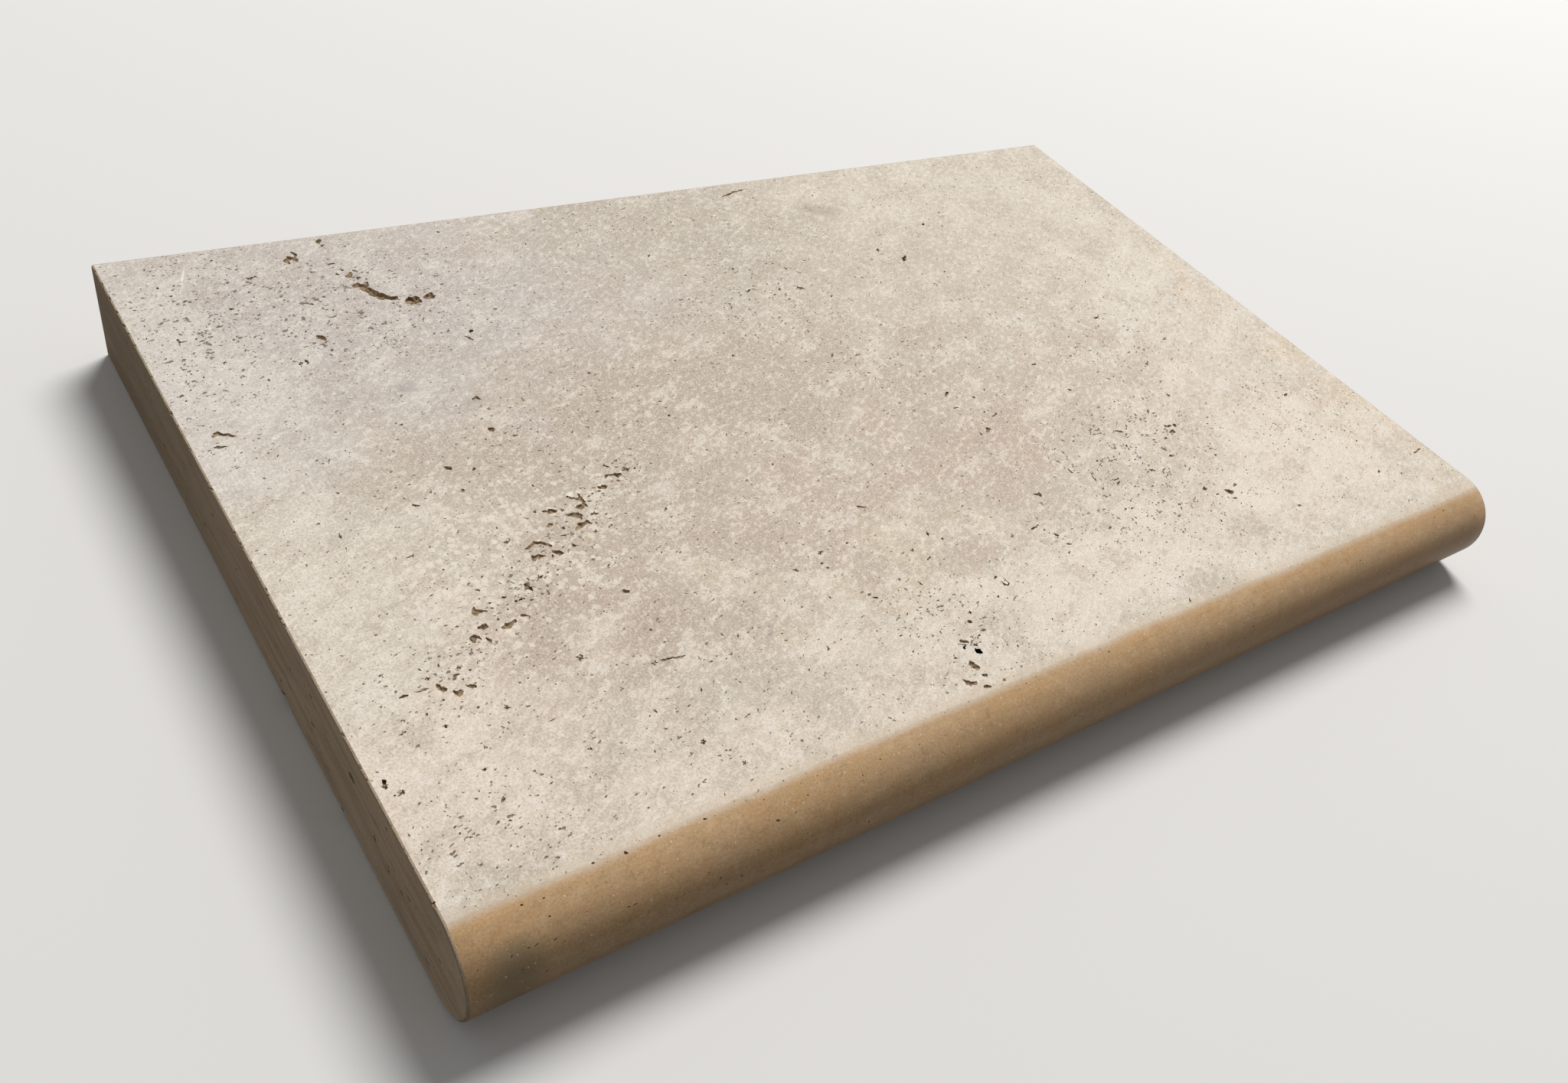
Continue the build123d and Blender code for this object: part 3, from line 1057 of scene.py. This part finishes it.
# %% Sawn, worn and lining stone
# Sawn travertine is dull, and level brown streaks in it show how the stone was laid down
sawn = cleared(finishes[SAWN])
place = millimetres(sawn)
level = millimetres(sawn, stretch=(9, 9, 1))
grain = cloud(sawn, place, 1, detail=4, roughness=0.7)
axes = add_node(sawn, "SeparateXYZ", {"Vector": place})
towards_back = fade(sawn, axes.outputs["Y"], -60, 190)
sawn_colour = veil(sawn, linear("#E6CDAE"), [
    # Darker towards the back is painted shade: the back of the sawn sides is drawn as if less lit
    (towards_back, "#A6937D", 0.9),
    (mottle(sawn, level, 5, 0.38, 0.66), "#B1967A", 0.5),
    (mottle(sawn, level, 9, 0.42, 0.7, seed=5), "#CDBBA2", 0.45),
    (fade(sawn, grain, 0.35, 0.7), "#967E66", 0.34),
    (speckle(sawn, ragged(sawn, level, 0.6, 1), 2.4, 0.7, 0.35), "#6B553F", 0.6),
])
finish_stone(sawn, sawn_colour, 0.75, grain, 0.25, gloss=0.08)

# A worn edge is freshly broken stone, a thin paler line that draws the slab's outline
worn = cleared(finishes[WORN])
place = millimetres(worn)
grain = cloud(worn, place, 0.9, detail=4, roughness=0.7)
worn_colour = veil(worn, linear("#BCAA92"), [
    (mottle(worn, place, 6, 0.42, 0.6), "#B09A80", 0.75),
    (fade(worn, grain, 0.35, 0.7), "#9A856C", 0.45),
])
finish_stone(worn, worn_colour, 0.7, grain, 0.3, gloss=0.05)

# A void's lining is rough brown crust, so each hole reads as deep rather than painted on
lining = cleared(finishes[LINING])
place = millimetres(lining)
axes = add_node(lining, "SeparateXYZ", {"Vector": place})
grain = cloud(lining, place, 0.7, detail=4, roughness=0.7)
rim = fade(lining, axes.outputs["Z"], high.z / MM - 0.5, high.z / MM - 0.05)
lining_colour = veil(lining, linear("#AE9779"), [
    (mottle(lining, place, 3, 0.42, 0.6), "#8D765A", 0.6),
    (fade(lining, grain, 0.35, 0.7), "#75604A", 0.4),
    (rim, "#D8CBB7", 0.85),
])
finish_stone(lining, lining_colour, 0.85, grain, 0.35, gloss=0.1)
print("materials on the slab:", [slot.name for slot in slab.material_slots])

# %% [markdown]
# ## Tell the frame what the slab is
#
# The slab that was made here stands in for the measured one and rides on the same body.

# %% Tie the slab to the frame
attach(slab, "root")
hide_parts("travertine_coping")
print("tied:", slab.name)

# %% [markdown]
# ## Studio
#
# A pale floor takes the slab's shadow. One large lamp stands high behind the slab on the right, so
# the top is bright while the nose and the left end turn away from it. The world fills the shadows
# softly. Camera rays see the floor and the world nearly white, and the light that they throw back
# on the stone is kept lower, so that the shaded sides keep their depth.

# %% Floor and background
FLOOR_HALF = 2.4
floor_bm = bmesh.new()
bmesh.ops.create_grid(floor_bm, x_segments=1, y_segments=1, size=FLOOR_HALF)
floor = to_object(floor_bm, "studio_floor")
floor_paint = cleared(bpy.data.materials.new("floor paint"))


def seen_directly(material):
    path = add_node(material, "LightPath").outputs
    rays = ("Is Camera Ray", "Is Glossy Ray", "Is Transmission Ray")
    return weigh(material, 0, [(path[ray], 1) for ray in rays])


floor_colour = add_node(floor_paint, "Mix", {
    0: seen_directly(floor_paint), 6: linear("#2E2C2A"), 7: linear("#DFDDDA"),
}, data_type="RGBA").outputs[2]
paint = add_node(floor_paint, "BsdfDiffuse", {"Color": floor_colour})
add_node(floor_paint, "OutputMaterial", {"Surface": paint.outputs["BSDF"]})
floor.data.materials.append(floor_paint)

world = cleared(bpy.data.worlds.new("studio"))
bpy.context.scene.world = world
FILL = 0.26
glow = add_node(world, "Mix", {
    0: seen_directly(world), 6: (FILL, FILL, FILL, 1), 7: linear("#F1F0EE"),
}, data_type="RGBA").outputs[2]
sky = add_node(world, "Background", {"Color": glow})
add_node(world, "OutputWorld", {"Surface": sky.outputs["Background"]})
print("floor and world made")

# %% [markdown]
# The lamp could be a sun, but its shadows would be hard. A wide disc some metres away gives
# the soft shadow edge that a cloudy window gives, and its power is set so that a colour on the
# honed top renders about as it is written.

# %% Lamp
LAMP_TOWARDS = Vector((0.4, 0.39, 0.83)).normalized()
LAMP_DISTANCE = 6
LAMP_SIZE = 2.8
LAMP_POWER = 364
lamp_data = bpy.data.lights.new("window lamp", "AREA")
lamp_data.shape = "DISK"
lamp_data.size = LAMP_SIZE
lamp_data.energy = LAMP_POWER
lamp = set_out("window lamp", lamp_data)
lamp.location = LAMP_TOWARDS * LAMP_DISTANCE
lamp.rotation_euler = LAMP_TOWARDS.to_track_quat("Z", "Y").to_euler()
print("lamp at", tuple(round(v, 2) for v in lamp.location))

# %% [markdown]
# ## Camera
#
# The camera stands off the slab's front left corner and looks down over it. Its place, turn and
# focal length were worked out from the slab's straight edges, and the small shift comes from how
# the picture was cropped.

# %% Place the camera
PICTURE = (2048, 1415)
FOCAL_PIXELS = 1702.6
PICTURE_MIDDLE = (1059.84, 805.06)
CAMERA_PLACE = (-401.3, -383.5, 426.2)
CAMERA_TURN = (44.7, -12.48, -34.85)

camera_data = bpy.data.cameras.new("photo camera")
camera_data.sensor_width = 36
camera_data.lens = camera_data.sensor_width * FOCAL_PIXELS / PICTURE[0]
camera_data.shift_x = (PICTURE[0] / 2 - PICTURE_MIDDLE[0]) / PICTURE[0]
camera_data.shift_y = (PICTURE_MIDDLE[1] - PICTURE[1] / 2) / PICTURE[0]
camera = set_out("photo camera", camera_data)
camera.location = Vector(CAMERA_PLACE) * MM
camera.rotation_euler = Euler([radians(angle) for angle in CAMERA_TURN], "XYZ")
bpy.context.scene.camera = camera
bpy.context.scene.view_settings.view_transform = "Standard"
print("lens", round(camera_data.lens, 2), "mm")
